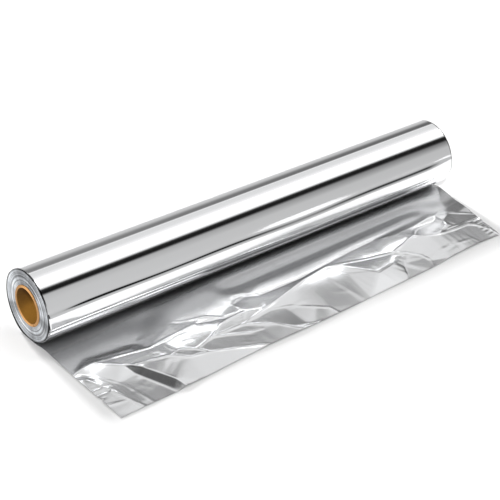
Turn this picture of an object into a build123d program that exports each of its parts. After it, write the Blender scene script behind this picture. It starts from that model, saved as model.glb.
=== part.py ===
from build123d import *
import os
from math import cos, floor, hypot, radians, sin
from scipy.spatial import Delaunay

# A catering roll of aluminium foil on a cardboard core, with its free end pulled out under it.
# Frame: the origin is the middle of the core's axis, X runs along the axis from the near end
# to the far end, the free end lies towards -Y and Z is up.

# Winding and core, mm
foil_width = 450.0
roll_diameter = 63.0
core_bore = 31.0
core_wall = 2.3
core_proud = 0.5
core_edge_chamfer = 0.3

# Turns that show on the two ends, mm
turn_pitch = 2.2
turn_band = 1.1
turn_relief = 0.4
rim_margin = 0.5

# Loose last turn: it leaves the roll high at the back and runs flat underneath, mm and degrees
foil_gauge = 0.4
loose_slack = 2.4
loose_start_angle = 35.0
loose_turn_in_angle = -50.0
roll_nip = 0.15
flat_run = 10.0

# Bag of the last turn low at the front: its depth, and how far it grows and fades at the two ends, mm
bag_depth = 3.5
bag_near_run = 40.0
bag_far_run = 36.0
bag_margin = 1.0

# Pulled-out end, mm, with its length taken from the line where the roll rests
pulled_length = 130.0
tear_skew = 14.0
tear_wave = 1.2
far_edge_draw = 20.0
sheet_lift = 10.0
facet_size = 8.0

# Profile of the bag: degrees from the top of the roll towards the front, and percents of the depth
BAG = [
    (67, -15), (71, 1), (76.5, 6), (80, 38), (85, 94), (92, 100), (100, 91), (108, 80), (112, 70),
    (122, 51), (135, 28), (150, 4), (154, -15),
]

# Folds of the pulled-out end, from the near edge to the far one. Points are percents of the foil's
# width, of the pulled length and of the sheet's lift; the foil lies in flat facets between the folds.
FOLDS = [
    ("near edge", [(0, 0, 0), (0, 9, 24), (0, 31, 12), (0, 45, 8), (0, 65, 12), (0, 78, 14), (0, 100, 8)]),
    ("torn edge, corner", [(0, 100, 8), (6.8, 100, 12), (11.6, 100, 6), (13.8, 100, 26), (18, 100, 14)]),
    ("torn edge, near part", [(18, 100, 14), (29, 100, 12), (33, 100, 20), (41, 100, 24), (45, 100, 20)]),
    ("torn edge, middle", [(45, 100, 20), (50, 100, 16), (56, 100, 6), (65, 100, 10), (69.5, 100, 14)]),
    ("torn edge, far part", [(69.5, 100, 14), (74, 100, 10), (77, 100, 8), (82, 100, 24), (91, 100, 24)]),
    ("torn edge, far corner", [(91, 100, 24), (97, 100, 14), (100, 100, 8)]),
    ("far edge", [(100, 0, 0), (100, 10, 22), (100, 34, 12), (100, 38, 18), (100, 49, 24), (100, 62, 16)]),
    ("far edge, crinkled", [(100, 62, 16), (100, 70, 16), (100, 78, 8), (100, 89, 14), (100, 100, 8)]),
    ("nip", [(0, 0, 0), (100, 0, 0)]),
    ("swell, near part", [(0, 9, 24), (13, 10, 34), (24, 13, 48), (30, 14, 60), (34, 14, 64)]),
    ("swell, far part", [(34, 14, 64), (67, 14, 64), (88, 14, 60), (95, 12, 46), (100, 10, 22)]),
    ("smooth trough", [(38, 27, 15), (44, 26.5, 12), (67, 26.5, 12), (80, 26, 12), (90, 26, 13)]),
    ("smooth ridge", [(44, 36, 29), (60, 36, 30), (74, 34, 29), (86, 32, 24)]),
    ("diagonal ridge", [(30, 14, 60), (27, 26, 44), (23, 36, 34), (18, 46, 31), (15, 52, 31)]),
    ("dark trough", [(24, 13, 48), (21, 19, 16), (18, 26, 8), (14, 39, 6)]),
    ("near panel hollow", [(0, 20, 18), (8, 19, 18), (15, 18, 18), (21, 19, 16)]),
    ("near panel foot", [(0, 31, 12), (2, 39, 9), (4, 34, 8), (7, 36, 8), (14, 39, 6), (14, 41, 8)]),
    ("near shoulder", [(0, 45, 8), (2.5, 43, 27), (4.5, 43, 29), (9, 47, 31), (15, 52, 31)]),
    ("near shoulder, far part", [(15, 52, 31), (21, 50, 31), (26, 49, 30)]),
    ("near corner crest", [(4.5, 43, 29), (9, 62, 46)]),
    ("near corner fold", [(0, 45, 8), (3, 58, 19), (5.5, 74, 16), (6.8, 100, 12)]),
    ("corner pleat", [(1, 55, 22), (3, 78, 20), (4.8, 100, 14)]),
    ("shoulder streak", [(4, 36, 13), (7, 41, 22), (12, 45, 27)]),
    ("steep facet crest", [(9, 62, 46), (10.2, 68, 52), (13.2, 92, 42), (13.8, 100, 26)]),
    ("steep facet foot", [(9, 62, 46), (8.8, 68, 18), (11.2, 92, 6), (11.6, 100, 6)]),
    ("lower crest", [(9, 62, 46), (16, 69, 52), (19, 78, 34), (23, 82, 30), (33, 100, 20)]),
    ("lens", [(16, 69, 52), (19, 67, 38), (21.5, 73, 30), (23, 82, 30)]),
    ("middle crest", [(21.5, 73, 30), (26, 69, 30), (33, 70, 24)]),
    ("short fold", [(26, 69, 30), (32, 80, 24), (35, 82, 22)]),
    ("arch", [(26, 69, 30), (30, 60, 30), (36, 57, 32)]),
    ("dark line", [(26, 49, 30), (32, 56, 22), (36, 57, 32)]),
    ("upper pleat", [(23, 36, 34), (24, 40, 28), (29, 47, 30), (32, 56, 22)]),
    ("white wedge", [(27, 26, 44), (33, 30, 44), (39, 37, 32), (42, 47, 16)]),
    ("hook", [(42, 47, 16), (39.5, 41, 19), (37, 42, 20), (35.5, 45, 22), (36, 57, 32), (33, 70, 24)]),
    ("long valley", [(42, 47, 16), (52, 48, 18), (58, 46, 18), (67, 42, 17), (78, 40, 15), (100, 34, 12)]),
    ("rising crest", [(33, 70, 24), (42, 62, 35), (52, 52, 34), (58.5, 48, 26)]),
    ("middle facet", [(33, 70, 24), (40, 67, 24), (44, 71, 18), (49.5, 91, 22), (50, 100, 16)]),
    ("middle facet, near side", [(33, 70, 24), (38, 83, 26), (41, 100, 24)]),
    ("falling crest", [(58.5, 48, 26), (60, 50, 24), (67, 59, 23), (73, 66, 34)]),
    ("star dip, left", [(73, 66, 34), (69.5, 79, 42), (65, 82, 40)]),
    ("star dip, down", [(73, 66, 34), (74, 75, 28), (71.5, 86, 18), (69.5, 100, 14)]),
    ("star arc", [(73, 66, 34), (75.5, 73, 25), (77.5, 82, 14), (78, 91, 8), (77, 100, 8)]),
    ("star crest, right", [(73, 66, 34), (77.5, 62, 37), (81, 58, 40)]),
    ("far dent, near side", [(81, 58, 40), (82.5, 65, 42), (86, 71, 42)]),
    ("far dent, top", [(81, 58, 40), (83, 52, 22), (89, 49, 10), (91, 44, 26)]),
    ("far dent, far side", [(91, 44, 26), (91, 56, 38), (90.5, 63, 40), (86, 71, 42)]),
    ("upper far pleat", [(75, 44, 26), (78.5, 47, 32), (84, 46, 24), (91, 44, 26), (100, 38, 18)]),
    ("far facet", [(86, 71, 42), (90.5, 73, 32), (95, 73, 28), (97, 78, 22), (99, 89, 16), (100, 100, 8)]),
    ("far pleat", [(86, 71, 42), (90.5, 68, 30), (100, 70, 16)]),
    ("far wedge", [(91, 44, 26), (95, 50, 28), (100, 62, 16)]),
]

# Sizes that follow
winding_radius = roll_diameter / 2
core_radius = core_bore / 2 + core_wall
core_length = foil_width + 2 * core_proud
floor_level = -(winding_radius + foil_gauge - roll_nip)


def core():
    """Spiral-wound paper tube, with its two outer edges eased."""
    ring = Circle(core_radius) - Circle(core_bore / 2)
    tube = extrude(Plane.YZ * ring, core_length / 2, both=True)
    rims = tube.edges().filter_by(GeomType.CIRCLE).group_by(SortBy.RADIUS)[-1]
    return chamfer(rims, core_edge_chamfer)


def turn_spiral():
    """Band along the foil's turns: half circles about two centres in turn, growing inwards."""
    first_radius = winding_radius - rim_margin - turn_pitch / 4
    room = first_radius - turn_band - turn_pitch / 4 - core_radius
    half_turns = floor(room / (turn_pitch / 2)) + 1
    arcs = []
    for k in range(half_turns):
        back = k % 2 == 0
        centre = (0, -turn_pitch / 4 if back else turn_pitch / 4)
        start = -90 if back else 90
        outer = first_radius - k * turn_pitch / 2
        arcs.append((CenterArc(centre, outer, start, 180), CenterArc(centre, outer - turn_band, start, 180)))
    outer_end = Line(arcs[0][0] @ 0, arcs[0][1] @ 0)
    inner_end = Line(arcs[-1][0] @ 1, arcs[-1][1] @ 1)
    return make_face([arc for pair in arcs for arc in pair] + [outer_end, inner_end])


def winding():
    """Every turn as one solid, with the turns standing proud as a spiral on both ends."""
    ring = Circle(winding_radius) - Circle(core_radius)
    body = extrude(Plane.YZ * ring, foil_width / 2 - turn_relief, both=True)
    return body + extrude(Plane.YZ * turn_spiral(), foil_width / 2, both=True)


def loose_turn():
    """The last turn: slack round the back, tighter underneath, then flat in front of the roll."""
    start, turn_in = radians(loose_start_angle), radians(loose_turn_in_angle)
    slack_radius = winding_radius - foil_gauge + loose_slack
    slack_centre = Vector(-loose_slack * cos(start), -loose_slack * sin(start))
    underside = floor_level + foil_gauge / 2
    tight_radius = (slack_centre.Y + slack_radius * sin(turn_in) - underside) / (1 + sin(turn_in))
    tight_centre = slack_centre + (slack_radius - tight_radius) * Vector(cos(turn_in), sin(turn_in))
    sides = []
    for offset in (-foil_gauge / 2, foil_gauge / 2):
        slack = CenterArc(
            slack_centre, slack_radius + offset, loose_start_angle, loose_turn_in_angle - loose_start_angle
        )
        tight = CenterArc(
            tight_centre, tight_radius + offset, loose_turn_in_angle, -90 - loose_turn_in_angle
        )
        flat = Line(tight @ 1, (-flat_run, underside - offset))
        sides.append((slack, tight, flat))
    inner, outer = sides
    caps = [Line(inner[0] @ 0, outer[0] @ 0), Line(inner[2] @ 1, outer[2] @ 1)]
    return extrude(Plane.YZ * make_face([*inner, *outer, *caps]), foil_width / 2, both=True)


def bag_section(x, share):
    """Section of the bag at one place along the roll: out along the slack, back through the winding."""
    points = []
    for degrees, percent in BAG:
        radius = winding_radius + share * bag_depth * percent / 100
        points.append((-radius * sin(radians(degrees)), radius * cos(radians(degrees))))
    slack = Spline(points)
    return Plane.YZ.offset(x) * make_face([slack, Line(slack @ 1, slack @ 0)])


def bag():
    """The slack that hangs low at the front of the last turn, less of it towards the two ends."""
    end = foil_width / 2 - bag_margin
    sections = [
        bag_section(-end, 0.8),
        bag_section(bag_near_run - end, 1.0),
        bag_section(end - bag_far_run, 1.0),
        bag_section(end, 0.3),
    ]
    return loft(sections, ruled=True)


def fold_points():
    """Points along every fold as shares across, shares out and heights, none of them crowded."""
    reach = pulled_length - flat_run
    kept = []
    for _, line in FOLDS:
        for (a1, b1, h1), (a2, b2, h2) in zip(line, line[1:]):
            steps = max(1, round(hypot((a2 - a1) * foil_width, (b2 - b1) * reach) / 100 / facet_size))
            for k in range(steps + 1):
                a = (a1 + (a2 - a1) * k / steps) / 100
                b = (b1 + (b2 - b1) * k / steps) / 100
                crowded = any(
                    hypot((a - p) * foil_width, (b - q) * reach) < facet_size / 4 for p, q, _ in kept
                )
                if not crowded:
                    kept.append((a, b, (h1 + (h2 - h1) * k / steps) / 100 * sheet_lift))
    return kept


def sheet_point(across, out, height):
    """Place of a point of the sheet's underside, with the torn edge askew and the far edge drawn in."""
    edge = pulled_length - tear_skew * across + tear_wave * sin(16 * across) * sin(5 * across)
    x = across * foil_width - foil_width / 2 - far_edge_draw * out * across**6
    y = -(flat_run + out * (edge - flat_run))
    return Vector(x, y, floor_level + height)


def pulled_end():
    """The creased free end: flat facets between the folds, closed all round its edges."""
    folds = fold_points()
    reach = pulled_length - flat_run
    facets = Delaunay([(a * foil_width, b * reach) for a, b, _ in folds]).simplices.tolist()
    low = [sheet_point(*point) for point in folds]
    high = [point + Vector(0, 0, foil_gauge) for point in low]
    faces, uses = [], {}
    for i, j, k in facets:
        faces.append(Face(Wire.make_polygon([low[i], low[j], low[k]])))
        faces.append(Face(Wire.make_polygon([high[i], high[j], high[k]])))
        for edge in ((i, j), (j, k), (k, i)):
            uses.setdefault(tuple(sorted(edge)), []).append(edge)
    for (i, j), times in uses.items():
        if len(times) == 1:
            faces.append(Face(Wire.make_polygon([low[i], low[j], high[j], high[i]])))
    return Solid(Shell(faces))


def foil():
    """The winding, its loose and bagged last turn and the pulled-out end, one length of foil."""
    return winding() + bag() + loose_turn() + pulled_end()


os.makedirs("parts", exist_ok=True)
export_step(core(), "parts/cardboard_core.step")
export_step(foil(), "parts/foil.step")
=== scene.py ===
import math

import bpy
import numpy as np
from mathutils import Matrix, Vector
from mathutils.geometry import delaunay_2d_cdt


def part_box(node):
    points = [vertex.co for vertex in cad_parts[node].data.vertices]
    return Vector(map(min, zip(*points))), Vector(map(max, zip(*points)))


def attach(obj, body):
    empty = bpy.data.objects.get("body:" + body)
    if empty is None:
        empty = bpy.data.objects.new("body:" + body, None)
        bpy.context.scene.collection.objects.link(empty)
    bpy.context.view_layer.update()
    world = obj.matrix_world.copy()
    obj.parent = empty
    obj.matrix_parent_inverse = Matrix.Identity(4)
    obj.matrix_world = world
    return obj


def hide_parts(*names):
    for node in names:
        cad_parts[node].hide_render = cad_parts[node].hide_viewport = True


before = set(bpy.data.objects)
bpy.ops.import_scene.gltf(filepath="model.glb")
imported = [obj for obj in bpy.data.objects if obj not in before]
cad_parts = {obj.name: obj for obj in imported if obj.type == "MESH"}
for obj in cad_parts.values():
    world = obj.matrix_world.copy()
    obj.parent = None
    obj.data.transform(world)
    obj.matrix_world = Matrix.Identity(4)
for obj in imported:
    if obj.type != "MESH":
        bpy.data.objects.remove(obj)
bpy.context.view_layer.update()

bl_info = {
    "name": "Aluminium Foil Roll",
    "version": (1, 0, 0),
    "blender": (4, 5, 0),
    "location": "View3D > Sidebar > Foil Roll",
    "description": "Builds a catering roll of foil with its creased free end pulled out",
    "category": "Add Mesh",
}

MM = 0.001

# Lowest and highest corners of the two solids, in metres
FOIL_LOW, FOIL_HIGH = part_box("foil")
CORE_LOW, CORE_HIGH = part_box("cardboard_core")

# Run of the free end under the roll, before its folds begin
FLAT_RUN = 10 * MM

# Folds of the pulled-out end, from the near edge to the far one. Points are percents of the foil's
# width, of the pulled length and of the sheet's lift; facets lie flat between the folds. The number
# after a name is the share of the pinch along that fold, less than 0 where the fold sinks.
FOLDS = [
    ("near edge", 0, [(0, 0, 0), (0, 9, 24), (0, 31, 12), (0, 45, 8), (0, 65, 12), (0, 78, 14), (0, 100, 8)]),
    ("torn edge, near part", 0, [
        (0, 100, 8), (6.8, 100, 12), (11.6, 100, 6), (13.8, 100, 26), (18, 100, 14), (29, 100, 12),
    ]),
    ("torn edge, middle", 0, [
        (29, 100, 12), (33, 100, 20), (41, 100, 24), (45, 100, 20), (50, 100, 16), (56, 100, 6),
    ]),
    ("torn edge, star", 0, [(56, 100, 6), (65, 100, 10), (69.5, 100, 14), (74, 100, 10), (77, 100, 8)]),
    ("torn edge, far part", 0, [(77, 100, 8), (82, 100, 24), (91, 100, 24), (97, 100, 14), (100, 100, 8)]),
    ("far edge", 0, [(100, 0, 0), (100, 10, 22), (100, 34, 12), (100, 38, 18), (100, 49, 24), (100, 62, 16)]),
    ("far edge, crinkled", 0, [(100, 62, 16), (100, 70, 16), (100, 78, 8), (100, 89, 14), (100, 100, 8)]),
    ("nip", 0, [(0, 0, 0), (100, 0, 0)]),
    ("swell, near part", 0, [(0, 9, 24), (13, 10, 34), (24, 13, 48), (30, 14, 60), (34, 14, 64)]),
    ("swell, far part", 0, [(34, 14, 64), (67, 14, 64), (88, 14, 60), (95, 12, 46), (100, 10, 22)]),
    ("smooth trough", 0, [(38, 27, 15), (44, 26.5, 12), (67, 26.5, 12), (80, 26, 12), (90, 26, 13)]),
    ("smooth ridge", 0, [(44, 36, 29), (60, 36, 30), (74, 34, 29), (86, 32, 24)]),
    ("diagonal ridge", 0, [(30, 14, 60), (27, 26, 44), (23, 36, 34), (18, 46, 31), (15, 52, 31)]),
    ("dark trough", 0, [(24, 13, 48), (21, 19, 16), (18, 26, 8), (14, 39, 6)]),
    ("near panel hollow", 0, [(0, 20, 18), (8, 19, 18), (15, 18, 18), (21, 19, 16)]),
    ("near panel foot", 0, [(0, 31, 12), (2, 39, 9), (4, 34, 8), (7, 36, 8), (14, 39, 6), (14, 41, 8)]),
    ("near shoulder", 1, [
        (0, 45, 8), (2.5, 43, 27), (4.5, 43, 29), (9, 47, 31), (15, 52, 31), (21, 50, 31), (26, 49, 30),
    ]),
    ("near corner crest", 0.8, [(4.5, 43, 29), (9, 62, 46)]),
    ("near corner fold", 0.4, [(0, 45, 8), (3, 58, 19), (5.5, 74, 16), (6.8, 100, 12)]),
    ("corner pleat", 0.7, [(1, 55, 22), (3, 78, 20), (4.8, 100, 14)]),
    ("shoulder streak", 0.4, [(4, 36, 13), (7, 41, 22), (12, 45, 27)]),
    ("steep facet crest", 0.5, [(9, 62, 46), (10.2, 68, 52), (13.2, 92, 42), (13.8, 100, 26)]),
    ("steep facet foot", 0, [(9, 62, 46), (8.8, 68, 18), (11.2, 92, 6), (11.6, 100, 6)]),
    ("lower crest", 1, [(9, 62, 46), (16, 69, 52), (19, 78, 34), (23, 82, 30), (33, 100, 20)]),
    ("lens", 0.8, [(16, 69, 52), (19, 67, 38), (21.5, 73, 30), (23, 82, 30)]),
    ("middle crest", 1, [(21.5, 73, 30), (26, 69, 30), (33, 70, 24)]),
    ("short fold", 1, [(26, 69, 30), (32, 80, 24), (35, 82, 22)]),
    ("arch", 1, [(26, 69, 30), (30, 60, 30), (36, 57, 32)]),
    ("dark line", -1, [(26, 49, 30), (32, 56, 22), (36, 57, 32)]),
    ("upper pleat", 0.8, [(23, 36, 34), (24, 40, 28), (29, 47, 30), (32, 56, 22)]),
    ("white wedge", 0.5, [(27, 26, 44), (33, 30, 44), (39, 37, 32), (42, 47, 16)]),
    ("hook", 0.6, [(42, 47, 16), (39.5, 41, 19), (37, 42, 20), (35.5, 45, 22), (36, 57, 32), (33, 70, 24)]),
    ("long valley", -0.8, [
        (42, 47, 16), (52, 48, 18), (58, 46, 18), (67, 42, 17), (78, 40, 15), (100, 34, 12),
    ]),
    ("rising crest", 1, [(33, 70, 24), (42, 62, 35), (52, 52, 34), (58.5, 48, 24)]),
    ("middle facet", 0.5, [(33, 70, 24), (40, 67, 24), (44, 71, 18), (49.5, 91, 22), (50, 100, 16)]),
    ("middle facet, near side", 0.8, [(33, 70, 24), (38, 83, 26), (41, 100, 24)]),
    ("falling crest", 1.2, [(58.5, 48, 24), (60, 50, 20), (67, 59, 17), (73, 66, 30)]),
    ("star dip, left", -0.7, [(73, 66, 30), (69.5, 79, 48), (65, 82, 52)]),
    ("star dip, down", -0.8, [(73, 66, 30), (74, 75, 28), (71.5, 86, 18), (69.5, 100, 14)]),
    ("star arc", 1, [(73, 66, 30), (75.5, 73, 25), (77.5, 82, 14), (78, 91, 8), (77, 100, 8)]),
    ("star crest, right", 1, [(73, 66, 30), (77.5, 62, 37), (81, 58, 40)]),
    ("far dent, near side", 1, [(81, 58, 40), (82.5, 65, 42), (86, 71, 42)]),
    ("far dent, top", 0.6, [(81, 58, 40), (83, 52, 22), (89, 49, 10), (91, 44, 26)]),
    ("far dent, far side", 1, [(91, 44, 26), (91, 56, 38), (90.5, 63, 40), (86, 71, 42)]),
    ("upper far pleat", 0.8, [(75, 44, 26), (78.5, 47, 32), (84, 46, 24), (91, 44, 26), (100, 38, 18)]),
    ("far facet", 1, [(86, 71, 42), (90.5, 73, 32), (95, 73, 28), (97, 78, 22), (99, 89, 16), (100, 100, 8)]),
    ("far pleat", 0.8, [(86, 71, 42), (90.5, 68, 30), (100, 70, 16)]),
    ("far wedge", 0.6, [(91, 44, 26), (95, 50, 28), (100, 62, 16)]),
    ("small dent", 0, [(43, 95, 9), (44.2, 98.5, 9)]),
]

# Profile of the last turn where it bags out low at the front: length along the turn in millimetres
# and the way that the foil faces there, in degrees from the top
BAG = [
    (0, 70), (3.2, 71), (4.4, 47), (5.6, 43), (6.8, 52),
    (8.2, 76), (16, 81), (17.5, 115), (21.5, 128), (23, 140),
]

# Angle from the top, in degrees, where the bag meets the winding again. Then, for the near end and
# for the far one: the share of its depth that the bag keeps there, and the share of the foil's width
# over which it fills.
BAG_FOOT = 152
BAG_NEAR_END = 0.8, 0.09
BAG_FAR_END = 0.30, 0.08

# Shallow dents of the last turn: place along the roll as a share, angle from the top towards the free
# end in degrees, half length and half width, and depth
DENTS = [
    (0.70, 50, 120 * MM, 5.0 * MM, 0.06 * MM),
    (0.25, -12, 110 * MM, 5.0 * MM, 0.05 * MM),
    (0.62, -62, 90 * MM, 5.0 * MM, 0.12 * MM),
    (0.20, -85, 80 * MM, 4.0 * MM, 0.14 * MM),
]

# Light of the studio tent by its angle round the roll's axis: degrees from overhead, with the free
# end's side positive, and brightness
STUDIO_BANDS = [
    (-180, 0.55), (-100, 0.60), (-84, 0.66), (-72, 0.56), (-66, 0.38), (-58, 0.25), (-49, 0.23),
    (-45, 0.32), (-43, 0.95), (-38, 0.78), (-25, 0.82), (-16, 1.0), (-10, 1.3), (-6, 4.0), (11, 4.0),
    (15, 1.3), (20, 1.0), (25, 0.06), (29, 0.012), (37, 0.010), (40, 0.20), (43, 0.52), (60, 0.60),
    (90, 0.62), (180, 0.55),
]

# Brightness that the bands keep towards the far end, by the same angle
FAR_DIMMING = [
    (-180, 1.0), (-66, 1.0), (-58, 0.6), (-48, 0.6), (-44, 1.0), (37, 1.0), (39, 0.35), (47, 0.5),
    (62, 0.9), (180, 1.0),
]

# Lamps that light the floor and the open core, and that the foil doesn't mirror: name, kind, direction
# towards the lamp, strength, and spread in degrees
LAMPS = [
    ("back_sun", "SUN", (0.09, 0.88, 0.45), 3.9, 6),
    ("front_sun", "SUN", (-0.45, -0.53, 0.72), 2.2, 8),
    ("core_spot", "SPOT", (-0.66, -0.12, 0.74), 12.0, 3.4),
]
LAMP_DISTANCE = 0.5
SPOT_BLEND = 0.6

# Camera: its direction from the roll and its roll about the view in degrees, its distance and its
# shift to the side and up in metres, and its lens and sensor in millimetres
CAMERA_AZIMUTH, CAMERA_ELEVATION, CAMERA_TILT = -40.04, 31.36, 1.81
CAMERA_DISTANCE, CAMERA_SIDE, CAMERA_RISE = 1.2632, 0.00235, -0.02551
CAMERA_LENS, CAMERA_SENSOR = 103.35, 36


class FoilRollSizes(bpy.types.PropertyGroup):
    """Sizes of the roll that the solids fix, and those of its folds."""

    foil_width: bpy.props.FloatProperty(
        name="Foil width", description="Width of the foil along the roll",
        default=FOIL_HIGH.x - FOIL_LOW.x, unit="LENGTH",
    )
    roll_radius: bpy.props.FloatProperty(
        name="Roll radius", description="Radius over the last turn", default=FOIL_HIGH.z, unit="LENGTH",
    )
    floor_level: bpy.props.FloatProperty(
        name="Floor level", description="Height of the surface under the roll",
        default=FOIL_LOW.z, unit="LENGTH",
    )
    core_radius: bpy.props.FloatProperty(
        name="Core radius", description="Outside radius of the core", default=CORE_HIGH.z, unit="LENGTH",
    )
    core_length: bpy.props.FloatProperty(
        name="Core length", description="Length of the core",
        default=CORE_HIGH.x - CORE_LOW.x, unit="LENGTH",
    )
    pulled_length: bpy.props.FloatProperty(
        name="Pulled length", description="Reach of the free end from the line where the roll rests",
        default=-FOIL_LOW.y, unit="LENGTH",
    )
    sheet_gauge: bpy.props.FloatProperty(
        name="Sheet gauge", description="Room that a shown sheet of foil takes up",
        default=0.1 * MM, unit="LENGTH",
    )
    tear_skew: bpy.props.FloatProperty(
        name="Tear skew", description="How much shorter the free end is at the far edge",
        default=14 * MM, unit="LENGTH",
    )
    far_edge_draw: bpy.props.FloatProperty(
        name="Far edge draw", description="How far the creases draw the far edge in",
        default=20 * MM, unit="LENGTH",
    )
    sheet_lift: bpy.props.FloatProperty(
        name="Sheet lift", description="Full height of the folds over the floor",
        default=10 * MM, unit="LENGTH",
    )
    facet_size: bpy.props.FloatProperty(
        name="Facet size", description="Spacing of the corners along the folds",
        default=6 * MM, unit="LENGTH",
    )
    pinch_height: bpy.props.FloatProperty(
        name="Pinch height", description="Height of the sharp ridge along a fold",
        default=0.6 * MM, unit="LENGTH",
    )
    pinch_reach: bpy.props.FloatProperty(
        name="Pinch reach", description="Half width of the sharp ridge along a fold",
        default=1.7 * MM, unit="LENGTH",
    )
    loose_slack: bpy.props.FloatProperty(
        name="Loose slack", description="Extra radius of the loose last turn",
        default=2.0 * MM, unit="LENGTH",
    )


class FoilRollColours(bpy.types.PropertyGroup):
    """Colours of the finishes and of the studio."""

    foil: bpy.props.FloatVectorProperty(
        name="Foil", description="Colour of the bright foil", size=3, subtype="COLOR",
        default=(0.90, 0.905, 0.915),
    )
    turn_edges: bpy.props.FloatVectorProperty(
        name="Turn edges", description="Colour of the stacked edges of the turns", size=3, subtype="COLOR",
        default=(0.80, 0.83, 0.87),
    )
    kraft: bpy.props.FloatVectorProperty(
        name="Kraft paper", description="Colour of the core's paper", size=3, subtype="COLOR",
        default=(0.17, 0.08, 0.014),
    )
    cut_board: bpy.props.FloatVectorProperty(
        name="Cut board", description="Colour of the core's cut ends", size=3, subtype="COLOR",
        default=(0.52, 0.27, 0.10),
    )
    floor: bpy.props.FloatVectorProperty(
        name="Floor", description="Colour of the studio floor", size=3, subtype="COLOR",
        default=(0.70, 0.70, 0.70),
    )


def sheet_piece(name, columns, rows, place, closed=False):
    """Lays out a flat grid and carries its points, by their shares across and along, to their places."""
    bpy.ops.object.select_all(action="DESELECT")
    bpy.ops.mesh.primitive_grid_add(x_subdivisions=columns, y_subdivisions=rows, size=1, calc_uvs=True)
    piece = bpy.context.object
    piece.name = piece.data.name = name
    flat = np.empty(len(piece.data.vertices) * 3)
    piece.data.vertices.foreach_get("co", flat)
    across, along, _ = flat.reshape(-1, 3).T
    points = np.stack(place(across + 0.5, along + 0.5), axis=1)
    piece.data.vertices.foreach_set("co", points.ravel())
    piece.data.update()
    if closed:
        bpy.ops.object.mode_set(mode="EDIT")
        bpy.ops.mesh.select_all(action="SELECT")
        bpy.ops.mesh.remove_doubles(threshold=0.001 * MM)
        bpy.ops.mesh.normals_make_consistent(inside=False)
        bpy.ops.object.mode_set(mode="OBJECT")
    bpy.ops.object.shade_smooth()
    return piece


def smooth_step(value):
    """Ease from 0 to 1 as the value passes from 0 to 1."""
    share = np.clip(value, 0.0, 1.0)
    return share * share * (3 - 2 * share)


def tent(away, reach):
    """A straight-sided ridge of height 1."""
    return np.maximum(0, 1 - away / reach)


def settle(grid, passes, axis):
    """Evens out a grid of heights along one axis by repeated three-point means."""
    for _ in range(passes):
        padded = np.pad(grid, [(1, 1) if a == axis else (0, 0) for a in range(2)], mode="edge")
        before, after = (np.take(padded, np.arange(k, k + grid.shape[axis]), axis) for k in (0, 2))
        grid = (before + 2 * grid + after) / 4
    return grid


def fold_network(sizes):
    """Corners of the flat facets between the folds, with the facets and the corners' heights."""
    reach = sizes.pulled_length - FLAT_RUN
    points, heights = [], []
    for _, _, line in FOLDS:
        for (a1, b1, h1), (a2, b2, h2) in zip(line, line[1:]):
            span = math.hypot((a2 - a1) / 100 * sizes.foil_width, (b2 - b1) / 100 * reach)
            steps = max(1, round(span / sizes.facet_size))
            for k in range(steps + 1):
                share = k / steps
                a, b = a1 + share * (a2 - a1), b1 + share * (b2 - b1)
                points.append(Vector((a / 100 * sizes.foil_width, b / 100 * reach)))
                heights.append((h1 + share * (h2 - h1)) / 100 * sizes.sheet_lift)
    same_corner = 0.01 * MM
    corners, _, facets, _, _, _ = delaunay_2d_cdt(points, [], [], 0, same_corner)
    known = np.array([tuple(point) for point in points])
    corners = np.array([tuple(corner) for corner in corners])
    nearest = [int(np.argmin(((known - corner) ** 2).sum(axis=1))) for corner in corners]
    return corners, facets, np.array(heights)[nearest]


def facet_height(sizes, across, out):
    """Height of the facets over the floor at these shares of the width and of the pulled length."""
    edge, seam, least_area = 1e-5, 1e-4, 0.001 * MM * MM
    s = np.clip(across, edge, 1 - edge) * sizes.foil_width
    t = np.clip(out, edge, 1 - edge) * (sizes.pulled_length - FLAT_RUN)
    corners, facets, level = fold_network(sizes)
    height = np.zeros_like(s)
    for i, j, k in facets:
        (s1, t1), (s2, t2), (s3, t3) = corners[i], corners[j], corners[k]
        area = (s2 - s1) * (t3 - t1) - (s3 - s1) * (t2 - t1)
        if abs(area) < least_area:
            continue
        share_j = ((s - s1) * (t3 - t1) - (s3 - s1) * (t - t1)) / area
        share_k = ((s2 - s1) * (t - t1) - (s - s1) * (t2 - t1)) / area
        inside = (share_j > -seam) & (share_k > -seam) & (share_j + share_k < 1 + seam)
        plane = level[i] + share_j * (level[j] - level[i]) + share_k * (level[k] - level[i])
        height = np.where(inside, plane, height)
    return height


def pinched_folds(sizes, s, t):
    """Sharp little ridges that the folds keep along their lines, at places across and out."""
    ridges, valleys = np.zeros_like(s), np.zeros_like(s)
    reach = sizes.pulled_length - FLAT_RUN
    winding_wave = np.sin(s / (6 * MM) + 2 * np.sin(t / (9 * MM)))
    slanting_wave = np.sin(t / (5 * MM) + s / (11 * MM))
    worn = 0.65 + 0.35 * winding_wave * slanting_wave
    for _, pinch, line in FOLDS:
        if pinch == 0:
            continue
        away = np.full_like(s, np.inf)
        for (a1, b1, _), (a2, b2, _) in zip(line, line[1:]):
            s1, t1 = a1 / 100 * sizes.foil_width, b1 / 100 * reach
            ds, dt = (a2 - a1) / 100 * sizes.foil_width, (b2 - b1) / 100 * reach
            share = np.clip(((s - s1) * ds + (t - t1) * dt) / (ds * ds + dt * dt), 0, 1)
            away = np.minimum(away, np.hypot(s - s1 - share * ds, t - t1 - share * dt))
        height = pinch * sizes.pinch_height * tent(away, sizes.pinch_reach) * worn
        ridges, valleys = np.maximum(ridges, height), np.minimum(valleys, height)
    return ridges + valleys


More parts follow.
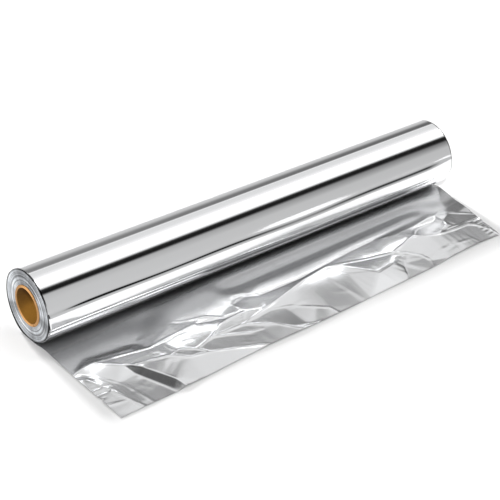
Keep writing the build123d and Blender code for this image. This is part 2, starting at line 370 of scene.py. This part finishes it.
def fine_pleats(s, t, far_edge):
    """Small creases of the handled foil: strewn ones, and rows along the far and the near edge."""
    rng = np.random.default_rng(11)
    height = np.zeros_like(s)
    strewn, far_rows = 60, 6
    for _ in range(strewn):
        place = rng.uniform(8, 442) * MM, rng.uniform(52, 124) * MM
        angle = rng.normal(0.35, 0.6)
        half, reach = rng.uniform(6, 20) * MM, rng.uniform(1.6, 4.5) * MM
        rise = rng.choice([-1, 1]) * rng.uniform(0.04, 0.13) * MM
        along = (s - place[0]) * math.cos(angle) + (t - place[1]) * math.sin(angle)
        side = (t - place[1]) * math.cos(angle) - (s - place[0]) * math.sin(angle)
        height += rise * tent(np.abs(side), reach) * tent(np.abs(along), half)
    far_slant, far_reach, far_half = 0.15, 2.2 * MM, 16 * MM
    for k in range(far_rows):
        line, rise = (84 + 5.2 * k) * MM, (0.7 - 0.08 * k) * MM
        away = np.abs(t - line - far_slant * (far_edge - s))
        height += rise * tent(away, far_reach) * tent(far_edge - s, far_half)
    near_slant, near_reach, near_half = 0.25, 1.8 * MM, 17 * MM
    for line, rise in ((88 * MM, -0.5 * MM), (95 * MM, -0.6 * MM), (112 * MM, 0.4 * MM)):
        height += rise * tent(np.abs(t - line - near_slant * s), near_reach) * tent(s, near_half)
    return height


def bag_height(sizes, x, angle):
    """How far the last turn bags out from the winding low at the front, by the angle from the top."""
    lengths, facing = np.array(BAG).T
    samples = 400
    along = np.linspace(0, lengths[-1], samples) * MM
    turned = np.radians(np.interp(along / MM, lengths, facing))
    step = along[1]
    begin = math.radians(facing[0])
    y = sizes.roll_radius * math.sin(begin) + np.cumsum(np.cos(turned)) * step
    z = sizes.roll_radius * math.cos(begin) - np.cumsum(np.sin(turned)) * step
    angles = np.append(np.arctan2(y, z), math.radians(BAG_FOOT))
    stand_off = np.append(np.hypot(y, z) - sizes.roll_radius, 0)
    share = x / sizes.foil_width + 0.5
    near_end, far_end = (
        kept + (1 - kept) * smooth_step(from_end / filling)
        for from_end, (kept, filling) in ((share, BAG_NEAR_END), (1 - share, BAG_FAR_END))
    )
    return np.interp(angle, angles, stand_off, left=0, right=0) * near_end * far_end


def dent_depth(sizes, x, angle):
    """Depth of the last turn's dents at this place along the roll and angle from the top."""
    depth = np.zeros_like(x)
    for place, towards, half_length, half_width, deep in DENTS:
        dx = (x + sizes.foil_width / 2 - place * sizes.foil_width) / half_length
        da = (angle - math.radians(towards)) * sizes.roll_radius / half_width
        depth = depth + deep * np.exp(-dx * dx - da * da)
    return depth


def new_material(name):
    """A fresh node material with its shader."""
    material = bpy.data.materials.new(name)
    material.use_nodes = True
    return material, material.node_tree, material.node_tree.nodes["Principled BSDF"]


def add_node(tree, kind, inputs=None, **settings):
    """A node with its settings, its input values and its links."""
    node = tree.nodes.new(kind)
    for key, value in settings.items():
        setattr(node, key, value)
    for key, value in (inputs or {}).items():
        if isinstance(value, bpy.types.NodeSocket):
            tree.links.new(value, node.inputs[key])
        else:
            node.inputs[key].default_value = value
    return node


def ranged(tree, value, span, levels=(0.0, 1.0)):
    """The level that a value reaches as it passes through its span."""
    ends = {"From Min": span[0], "From Max": span[1], "To Min": levels[0], "To Max": levels[1]}
    return add_node(tree, "ShaderNodeMapRange", {"Value": value, **ends}).outputs["Result"]


def reckoned(tree, operation, *values):
    """The result of an operation on values."""
    return add_node(tree, "ShaderNodeMath", dict(enumerate(values)), operation=operation).outputs[0]


def noise(tree, vector, **values):
    """A noise pattern over the places that a vector gives."""
    return add_node(tree, "ShaderNodeTexNoise", {"Vector": vector, **values}).outputs["Fac"]


def blended(tree, share, first, second):
    """A value between two others."""
    inputs = {"Factor": share, 2: first, 3: second}
    return add_node(tree, "ShaderNodeMix", inputs, data_type="FLOAT").outputs[0]


def shaded(tree, colour, share):
    """A colour darkened by a share."""
    inputs = {"Factor": 1.0, 6: colour, 7: share}
    return add_node(tree, "ShaderNodeMix", inputs, data_type="RGBA", blend_type="MULTIPLY").outputs[2]


def two_tones(tree, value, dark, light):
    """A ramp between two tones, each given by its position and its colour."""
    ramp = add_node(tree, "ShaderNodeValToRGB", {"Fac": value})
    for stop, (position, colour) in zip(ramp.color_ramp.elements, (dark, light)):
        stop.position = position
        stop.color = (*colour, 1)
    return ramp.outputs["Color"]


def rolling_lines():
    """Node group, built once: the mill's faint lines along the foil, as a haze from 0 to 1 and a normal."""
    group = bpy.data.node_groups.get("rolling_lines")
    if group:
        return group
    group = bpy.data.node_groups.new("rolling_lines", "ShaderNodeTree")
    group.interface.new_socket("Haze", in_out="OUTPUT", socket_type="NodeSocketFloat")
    group.interface.new_socket("Normal", in_out="OUTPUT", socket_type="NodeSocketVector")
    place = add_node(group, "ShaderNodeTexCoord")
    drawn_out = add_node(group, "ShaderNodeMapping", {"Vector": place.outputs["UV"], "Scale": (420, 2.0, 1)})
    lines = noise(group, drawn_out.outputs["Vector"], Scale=1.0, Detail=4.0)
    haze = ranged(group, lines, (0.3, 0.7))
    bump = add_node(group, "ShaderNodeBump", {"Strength": 0.02, "Distance": 0.02 * MM, "Height": lines})
    add_node(group, "NodeGroupOutput", {"Haze": haze, "Normal": bump.outputs["Normal"]})
    return group


def rolled_foil(name, zone, hazes):
    """Rolled foil whose haze changes along its length within a zone, with its UV axes to finish it by."""
    material, tree, shader = new_material(name)
    marks = add_node(tree, "ShaderNodeGroup", node_tree=rolling_lines())
    place = add_node(tree, "ShaderNodeUVMap")
    axes = add_node(tree, "ShaderNodeSeparateXYZ", {0: place.outputs["UV"]})
    line_haze = 0.04
    base = ranged(tree, axes.outputs["Y"], zone, hazes)
    haze = reckoned(tree, "MULTIPLY_ADD", marks.outputs["Haze"], line_haze, base)
    tree.links.new(haze, shader.inputs["Roughness"])
    tree.links.new(marks.outputs["Normal"], shader.inputs["Normal"])
    return material, tree, shader, axes


def bright_foil(colours):
    """Mirror-bright foil of the last turn: matte in the nip at the front, with painted shade at its far rim.
    """
    nip, nip_hazes, nip_metal = (0.119, 0.175), (0.4, 0.05), (0.4, 1.0)
    painted_rim_span, painted_rim_shades = (0.92, 0.96), (1.0, 0.1)
    material, tree, shader, axes = rolled_foil("bright_foil", nip, nip_hazes)
    metal = ranged(tree, axes.outputs["Y"], nip, nip_metal)
    # The darkening at the far rim is painted shade, a dark outline in the colour
    rim = ranged(tree, axes.outputs["X"], painted_rim_span, painted_rim_shades)
    tree.links.new(metal, shader.inputs["Metallic"])
    tree.links.new(shaded(tree, (*colours.foil, 1), rim), shader.inputs["Base Color"])
    return material


def creased_foil(colours):
    """Foil of the free end: hazier and darker by painted shade where it is smooth, with a painted dark
    hairline at its far edge.
    """
    haze_zone, hazes = (0.34, 0.42), (0.22, 0.16)
    # The smooth part's shade is painted, to match the tone that the photograph has there
    smooth_zone, smooth_shades = (0.34, 0.44), (0.74, 1.0)
    painted_rim_span, painted_rim_shades = (0.999, 0.9995), (1.0, 0.1)
    material, tree, shader, axes = rolled_foil("creased_foil", haze_zone, hazes)
    shade = ranged(tree, axes.outputs["Y"], smooth_zone, smooth_shades)
    # The hairline at the far edge is painted shade
    rim = ranged(tree, axes.outputs["X"], painted_rim_span, painted_rim_shades)
    tone = shaded(tree, (*colours.foil, 1), reckoned(tree, "MULTIPLY", rim, shade))
    tree.links.new(tone, shader.inputs["Base Color"])
    shader.inputs["Metallic"].default_value = 1
    return material


def turn_edges(colours, outside):
    """The stacked edges of the turns: bluish, ringed aluminium with a painted fanned sheen and a painted dark
    rim.
    """
    material, tree, shader = new_material("turn_edges")
    place = add_node(tree, "ShaderNodeTexCoord").outputs["Object"]
    across = add_node(tree, "ShaderNodeVectorMath", {0: place, 1: (0, 1, 1)}, operation="MULTIPLY")
    radius = add_node(tree, "ShaderNodeVectorMath", {0: across.outputs["Vector"]}, operation="LENGTH")
    fine, broad = (
        add_node(
            tree, "ShaderNodeTexNoise", {"W": radius.outputs["Value"], "Scale": scale, "Detail": detail},
            noise_dimensions="1D",
        )
        for scale, detail in ((2600.0, 3.0), (330.0, 2.0))
    )
    rings = blended(tree, 0.35, broad.outputs["Fac"], fine.outputs["Fac"])
    dark_ring = [0.3 * c for c in colours.turn_edges]
    ringed = two_tones(tree, rings, (0.42, dark_ring), (0.58, colours.turn_edges))
    # The dark ring near the outside is painted shade
    rim = ranged(tree, radius.outputs["Value"], (outside - 0.8 * MM, outside - 0.3 * MM), (1.0, 0.12))
    facing = add_node(tree, "ShaderNodeVectorMath", {0: across.outputs["Vector"]}, operation="NORMALIZE")
    # Brighter and darker sectors round the axis: a painted sheen in the colour
    sheen_noise = noise(tree, facing.outputs["Vector"], Scale=1.6, Detail=3.0)
    painted_sheen = ranged(tree, sheen_noise, (0.35, 0.65), (0.45, 1.25))
    tone = shaded(tree, ringed, reckoned(tree, "MULTIPLY", rim, painted_sheen))
    bump = add_node(tree, "ShaderNodeBump", {"Strength": 0.3, "Distance": 0.1 * MM, "Height": rings})
    swirl = add_node(tree, "ShaderNodeTangent", direction_type="RADIAL", axis="X")
    shader.inputs["Metallic"].default_value = 1
    shader.inputs["Roughness"].default_value = 0.34
    shader.inputs["Anisotropic"].default_value = 0.75
    tree.links.new(tone, shader.inputs["Base Color"])
    tree.links.new(bump.outputs["Normal"], shader.inputs["Normal"])
    tree.links.new(swirl.outputs["Tangent"], shader.inputs["Tangent"])
    return material


def kraft_paper(colours, sizes):
    """Brown core board: paler at the cut ends, with fibres, blotches and a spiral seam."""
    material, tree, shader = new_material("kraft_paper")
    place = add_node(tree, "ShaderNodeTexCoord").outputs["Object"]
    axes = add_node(tree, "ShaderNodeSeparateXYZ", {0: place})
    fibres = noise(tree, place, Scale=900.0, Detail=6.0, Roughness=0.7)
    blotches = noise(tree, place, Scale=60.0, Detail=3.0)
    dark_paper = [0.75 * c for c in colours.kraft]
    light_paper = [min(1.0, 1.2 * c) for c in colours.kraft]
    paper = two_tones(tree, blended(tree, 0.4, fibres, blotches), (0.3, dark_paper), (0.7, light_paper))
    half_length = sizes.core_length / 2
    from_middle = reckoned(tree, "ABSOLUTE", axes.outputs["X"])
    cut_end = ranged(tree, from_middle, (half_length - 0.8 * MM, half_length - 0.2 * MM))
    inputs = {"Factor": cut_end, 6: paper, 7: (*colours.cut_board, 1)}
    board = add_node(tree, "ShaderNodeMix", inputs, data_type="RGBA")
    seam_pitch = 85 * MM
    angle = reckoned(tree, "ARCTAN2", axes.outputs["Z"], axes.outputs["Y"])
    turns = reckoned(tree, "MULTIPLY", angle, 1 / (2 * math.pi))
    strip = reckoned(tree, "FRACT", reckoned(tree, "MULTIPLY_ADD", axes.outputs["X"], 1 / seam_pitch, turns))
    seam = ranged(tree, strip, (0.0, 0.02), (0.45, 1.0))
    bump = add_node(tree, "ShaderNodeBump", {"Strength": 0.35, "Distance": 0.1 * MM, "Height": fibres})
    tree.links.new(shaded(tree, board.outputs[2], seam), shader.inputs["Base Color"])
    tree.links.new(bump.outputs["Normal"], shader.inputs["Normal"])
    shader.inputs["Roughness"].default_value = 0.85
    return material


def finish_piece(piece, material, slot, *nodes):
    """Dresses a piece, lets it ride on the one body and hides the solids that it stands for."""
    piece.data.materials.clear()
    piece.data.materials.append(material)
    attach(piece, "root")
    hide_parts(*nodes)


class FOIL_OT_add_core(bpy.types.Operator):
    """Finish the spiral-wound cardboard core"""

    bl_idname = "foil_roll.add_core"
    bl_label = "Cardboard core"

    def execute(self, context):
        sizes, colours = context.scene.foil_sizes, context.scene.foil_colours
        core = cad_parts["cardboard_core"]
        core.data.materials.clear()
        core.data.materials.append(kraft_paper(colours, sizes))
        return {"FINISHED"}


class FOIL_OT_add_winding(bpy.types.Operator):
    """Add the wound turns with their stacked edges on both ends"""

    bl_idname = "foil_roll.add_winding"
    bl_label = "Winding"

    def execute(self, context):
        sizes, colours = context.scene.foil_sizes, context.scene.foil_colours
        room_for_last_turn, pitch = 0.3 * MM, 0.55 * MM
        inner, outer = sizes.core_radius, sizes.roll_radius - room_for_last_turn
        bands, deepest, flush = 80, 0.35 * MM, 0.15 * MM
        rng = np.random.default_rng(7)
        steps = rng.uniform(0, deepest / MM, bands) * MM
        columns, end_rows = 240, 96
        rows = 2 * end_rows + 4

        def place(across, along):
            angle = 2 * math.pi * across
            row = np.rint(along * rows)
            near = row <= end_rows
            far = (row >= end_rows + 2) & (row <= 2 * end_rows + 2)
            share = np.where(near, row / end_rows, np.where(far, 1 - (row - end_rows - 2) / end_rows, 0))
            share = np.where(row == end_rows + 1, 1.0, share)
            radius = inner + (outer - inner) * share
            turn = (radius - inner) / pitch - across
            index = np.floor(turn).astype(int) + 2
            recess = steps[np.clip(index, 0, bands - 1)]
            recess = np.where((share > 0.01) & (share < 0.99), recess, flush)
            half = sizes.foil_width / 2
            x = np.where(near, -half + recess, np.where(far, half - recess, 0))
            return x, radius * np.sin(angle), radius * np.cos(angle)

        piece = sheet_piece("foil_winding", columns, rows, place, closed=True)
        finish_piece(piece, turn_edges(colours, outer), "foil", "foil")
        return {"FINISHED"}


class FOIL_OT_add_last_turn(bpy.types.Operator):
    """Add the last turn, bagging at the front, slack at the back and flat under the roll"""

    bl_idname = "foil_roll.add_last_turn"
    bl_label = "Last turn"

    def execute(self, context):
        sizes, colours = context.scene.foil_sizes, context.scene.foil_colours
        radius = sizes.roll_radius - sizes.sheet_gauge / 2
        underside = sizes.floor_level + sizes.sheet_gauge / 2
        start, leave, turn_in = (math.radians(degrees) for degrees in (262, 40, -50))
        slack_radius = radius + sizes.loose_slack
        slack_centre = -sizes.loose_slack * Vector((math.cos(leave), math.sin(leave)))
        turn_in_level = slack_centre.y + slack_radius * math.sin(turn_in)
        tight_radius = (turn_in_level - underside) / (1 + math.sin(turn_in))
        tight_way = Vector((math.cos(turn_in), math.sin(turn_in)))
        tight_centre = slack_centre + (slack_radius - tight_radius) * tight_way
        run_past_nip = 4 * MM
        lengths = [
            radius * (start - leave),
            slack_radius * (leave - turn_in),
            tight_radius * (turn_in + math.pi / 2),
            tight_centre.x + run_past_nip,
        ]
        knots = np.cumsum([0] + lengths)
        columns, rows = 300, 320
        front_rows, front_length = 0.7, 0.5
        rim_columns, rim_width = 0.08, 1.6 * MM
        rounding_depth, rounding_reach = 0.5 * MM, 1.4 * MM
        wander_begin, wander_end, wander_ease = math.radians(140), math.radians(255), 0.4

        def place(across, along):
            d = knots[-1] * np.interp(along, (0, front_rows, 1), (0, front_length, 1))
            from_side = np.minimum(across, 1 - across)
            rim = np.clip(from_side / rim_columns, 0, 1)
            middle = 0.5 - rim_width / sizes.foil_width
            inner_share = 0.5 - middle * (1 - 2 * from_side) / (1 - 2 * rim_columns)
            from_end = np.where(rim < 1, rim * rim_width / sizes.foil_width, inner_share)
            share = np.where(across < 0.5, from_end, 1 - from_end)
            x = (share - 0.5) * sizes.foil_width
            wound = start - d / radius
            wander = np.radians(1.4 * np.sin(7.1 * share + 0.4) + 0.8 * np.sin(19 * share))
            wander = wander * smooth_step((wound - wander_begin) / wander_ease)
            wander = wander * smooth_step((wander_end - wound) / wander_ease)
            slack = leave - (d - knots[1]) / slack_radius
            tight = turn_in - (d - knots[2]) / tight_radius
            from_top = wound - math.pi / 2
            inset = smooth_step(1 - from_end * sizes.foil_width / rounding_reach)
            dented = radius - rounding_depth * inset - dent_depth(sizes, x, from_top)
            bagged = dented + bag_height(sizes, x, from_top)
            stages = [d <= knots[1], d <= knots[2], d <= knots[3]]
            y = np.select(
                stages,
                [bagged * np.cos(wound - wander), slack_centre.x + slack_radius * np.cos(slack),
                 tight_centre.x + tight_radius * np.cos(tight)],
                tight_centre.x - (d - knots[3]),
            )
            z = np.select(
                stages,
                [bagged * np.sin(wound - wander), slack_centre.y + slack_radius * np.sin(slack),
                 tight_centre.y + tight_radius * np.sin(tight)],
                underside,
            )
            return x, y, z

        piece = sheet_piece("last_turn", columns, rows, place)
        finish_piece(piece, bright_foil(colours), "foil", "foil")
        return {"FINISHED"}


class FOIL_OT_add_pulled_end(bpy.types.Operator):
    """Add the creased free end of the foil"""

    bl_idname = "foil_roll.add_pulled_end"
    bl_label = "Pulled-out end"

    def execute(self, context):
        sizes, colours = context.scene.foil_sizes, context.scene.foil_colours
        columns, rows = 560, 150
        start, smooth_end, smooth_rows = 4 * MM, 62 * MM, 0.40
        tear_wave = 1.2 * MM
        softness_end, softness_fade = 46 * MM, 10 * MM
        creases_begin, creases_fade = 50 * MM, 8 * MM
        roll_clearance = 1.0 * MM
        nick_depth, nick_place, nick_half, nick_reach = 2.5 * MM, 103 * MM, 2 * MM, 6 * MM
        crisp_passes, soft_passes, crease_passes = (6, 4), (24, 150), (1, 1)
        draw_power = 6

        def place(across, along):
            edge = sizes.pulled_length - sizes.tear_skew * across
            edge = edge + tear_wave * np.sin(16 * across) * np.sin(5 * across)
            near = start + (smooth_end - start) * along / smooth_rows
            far = smooth_end + (edge - smooth_end) * (along - smooth_rows) / (1 - smooth_rows)
            t = np.where(along < smooth_rows, near, far)
            out = np.maximum(0, (t - FLAT_RUN) / (edge - FLAT_RUN))
            s = across * sizes.foil_width
            order = np.lexsort((across, along))

            def evened(heights, passes_out, passes_across):
                grid = heights[order].reshape(rows + 1, columns + 1)
                result = np.empty_like(heights)
                result[order] = settle(settle(grid, passes_out, 0), passes_across, 1).ravel()
                return result

            facets = facet_height(sizes, across, out)
            crisp, soft = evened(facets, *crisp_passes), evened(facets, *soft_passes)
            softness = 1 - smooth_step((t - softness_end) / softness_fade)
            pinches = pinched_folds(sizes, s, out * (sizes.pulled_length - FLAT_RUN))
            creases = evened(fine_pleats(s, t, sizes.foil_width) + pinches, *crease_passes)
            creased = smooth_step((t - creases_begin) / creases_fade)
            height = crisp + softness * (soft - crisp) + creases * creased
            under = sizes.roll_radius - np.sqrt(np.maximum(0, sizes.roll_radius**2 - t**2))
            highest = np.where(t < sizes.roll_radius, np.maximum(0, under - roll_clearance), np.inf)
            height = np.minimum(height, highest)
            nick = nick_depth * tent(np.abs(t - nick_place), nick_half) * tent(s, nick_reach)
            x = s - sizes.foil_width / 2 - sizes.far_edge_draw * out * across**draw_power + nick
            z = sizes.floor_level + sizes.sheet_gauge / 2 + np.maximum(0, height)
            return x, -t, z

        piece = sheet_piece("pulled_end", columns, rows, place)
        finish_piece(piece, creased_foil(colours), "foil", "foil")
        return {"FINISHED"}


class FOIL_OT_add_stage(bpy.types.Operator):
    """Add the floor, the studio light and the camera"""

    bl_idname = "foil_roll.add_stage"
    bl_label = "Stage"

    def execute(self, context):
        sizes, colours = context.scene.foil_sizes, context.scene.foil_colours
        self.add_floor(sizes, colours)
        self.add_tent(context)
        self.add_lamps(context, sizes)
        self.add_camera(context)
        return {"FINISHED"}

    def add_floor(self, sizes, colours):
        """A wide matte floor just under the foil."""
        floor_size, gap, glow = 100, 0.02 * MM, 0.02
        bpy.ops.object.select_all(action="DESELECT")
        bpy.ops.mesh.primitive_plane_add(size=floor_size, location=(0, 0, sizes.floor_level - gap))
        floor = bpy.context.object
        floor.name = "floor"
        material, _, shader = new_material("studio_floor")
        shader.inputs["Base Color"].default_value = (*colours.floor, 1)
        shader.inputs["Roughness"].default_value = 1
        shader.inputs["Specular IOR Level"].default_value = 0
        shader.inputs["Emission Color"].default_value = (1, 1, 1, 1)
        shader.inputs["Emission Strength"].default_value = glow
        floor.data.materials.append(material)

    def add_tent(self, context):
        """A tent of light bands along the roll, dimmed towards its two ends."""
        world = bpy.data.worlds.new("studio_tent")
        context.scene.world = world
        world.use_nodes = True
        tree = world.node_tree
        place = add_node(tree, "ShaderNodeTexCoord")
        axes = add_node(tree, "ShaderNodeSeparateXYZ", {0: place.outputs["Generated"]})
        along, back, up = (axes.outputs[axis] for axis in "XYZ")
        angle = reckoned(tree, "ARCTAN2", reckoned(tree, "MULTIPLY", back, -1.0), up)
        share = ranged(tree, angle, (-math.pi, math.pi))
        bands, dimmed = (self.band_ramp(tree, share, levels) for levels in (STUDIO_BANDS, FAR_DIMMING))
        inputs = {"Factor": ranged(tree, along, (0.46, 0.66)), 6: bands, 7: dimmed}
        light = add_node(tree, "ShaderNodeMix", inputs, data_type="RGBA", blend_type="MULTIPLY")
        far_side = ranged(tree, along, (0.72, 0.95), (1.0, 0.12))
        low = ranged(tree, up, (0.15, 0.4), (1.0, 0.1))
        near_side = ranged(tree, along, (-0.95, -0.8), (0.1, low))
        behind = ranged(tree, back, (0.5, 0.85), (near_side, 0.8))
        strength = ranged(tree, along, (0.0, 0.3), (behind, far_side))
        background = tree.nodes["Background"]
        tree.links.new(light.outputs[2], background.inputs["Color"])
        tree.links.new(strength, background.inputs["Strength"])

    def band_ramp(self, tree, share, levels):
        """A ramp of grey levels by their angle in degrees."""
        ramp = add_node(tree, "ShaderNodeValToRGB", {"Fac": share})
        stops = ramp.color_ramp.elements
        while len(stops) < len(levels):
            stops.new(0.5)
        for stop, (degrees, level) in zip(stops, levels):
            stop.position = (degrees + 180) / 360
            stop.color = (level, level, level, 1)
        return ramp.outputs["Color"]

    def add_lamps(self, context, sizes):
        """Lamps that point at the near end."""
        near_end = Vector((-sizes.core_length / 2, 0, 0))
        for name, kind, towards, strength, spread in LAMPS:
            direction = Vector(towards).normalized()
            bpy.ops.object.light_add(
                type=kind, location=near_end + LAMP_DISTANCE * direction,
                rotation=direction.to_track_quat("Z", "Y").to_euler(),
            )
            lamp = context.object
            lamp.name = name
            lamp.visible_glossy = False
            lamp.data.energy = strength
            if kind == "SUN":
                lamp.data.angle = math.radians(spread)
            else:
                lamp.data.spot_size = math.radians(spread)
                lamp.data.spot_blend = SPOT_BLEND

    def add_camera(self, context):
        """The camera, with its three axes worked out from its angles."""
        azimuth, elevation, tilt = (
            math.radians(degrees) for degrees in (CAMERA_AZIMUTH, CAMERA_ELEVATION, CAMERA_TILT)
        )
        back = Vector((
            math.sin(azimuth) * math.cos(elevation), -math.cos(azimuth) * math.cos(elevation),
            math.sin(elevation),
        ))
        right = Matrix.Rotation(tilt, 3, back) @ Vector((math.cos(azimuth), math.sin(azimuth), 0))
        up = back.cross(right)
        data = bpy.data.cameras.new("camera")
        data.sensor_width = CAMERA_SENSOR
        data.lens = CAMERA_LENS
        camera = bpy.data.objects.new("camera", data)
        context.collection.objects.link(camera)
        camera.matrix_world = Matrix((right, up, back)).transposed().to_4x4()
        camera.location = back * CAMERA_DISTANCE + right * CAMERA_SIDE + up * CAMERA_RISE
        context.scene.camera = camera
        context.scene.view_settings.view_transform = "Standard"


class FOIL_PT_sidebar(bpy.types.Panel):
    """Sidebar panel with the sizes, the colours and one button for each piece"""

    bl_idname = "FOIL_PT_sidebar"
    bl_label = "Foil Roll"
    bl_space_type = "VIEW_3D"
    bl_region_type = "UI"
    bl_category = "Foil Roll"

    def draw(self, context):
        for group in (context.scene.foil_sizes, context.scene.foil_colours):
            for name in group.bl_rna.properties.keys():
                if name not in ("rna_type", "name"):
                    self.layout.prop(group, name)
        for operator in OPERATORS:
            self.layout.operator(operator.bl_idname)


OPERATORS = (
    FOIL_OT_add_core, FOIL_OT_add_winding, FOIL_OT_add_last_turn, FOIL_OT_add_pulled_end, FOIL_OT_add_stage,
)
CLASSES = (FoilRollSizes, FoilRollColours, *OPERATORS, FOIL_PT_sidebar)


def register():
    """Registers the classes and gives the scene its settings."""
    for cls in CLASSES:
        bpy.utils.register_class(cls)
    bpy.types.Scene.foil_sizes = bpy.props.PointerProperty(type=FoilRollSizes)
    bpy.types.Scene.foil_colours = bpy.props.PointerProperty(type=FoilRollColours)


def unregister():
    """Takes the settings and the classes away again."""
    del bpy.types.Scene.foil_colours
    del bpy.types.Scene.foil_sizes
    for cls in reversed(CLASSES):
        bpy.utils.unregister_class(cls)


def main():
    """Builds the roll and its stage with the operators."""
    register()
    bpy.ops.foil_roll.add_core()
    bpy.ops.foil_roll.add_winding()
    bpy.ops.foil_roll.add_last_turn()
    bpy.ops.foil_roll.add_pulled_end()
    bpy.ops.foil_roll.add_stage()


if __name__ == "__main__":
    main()
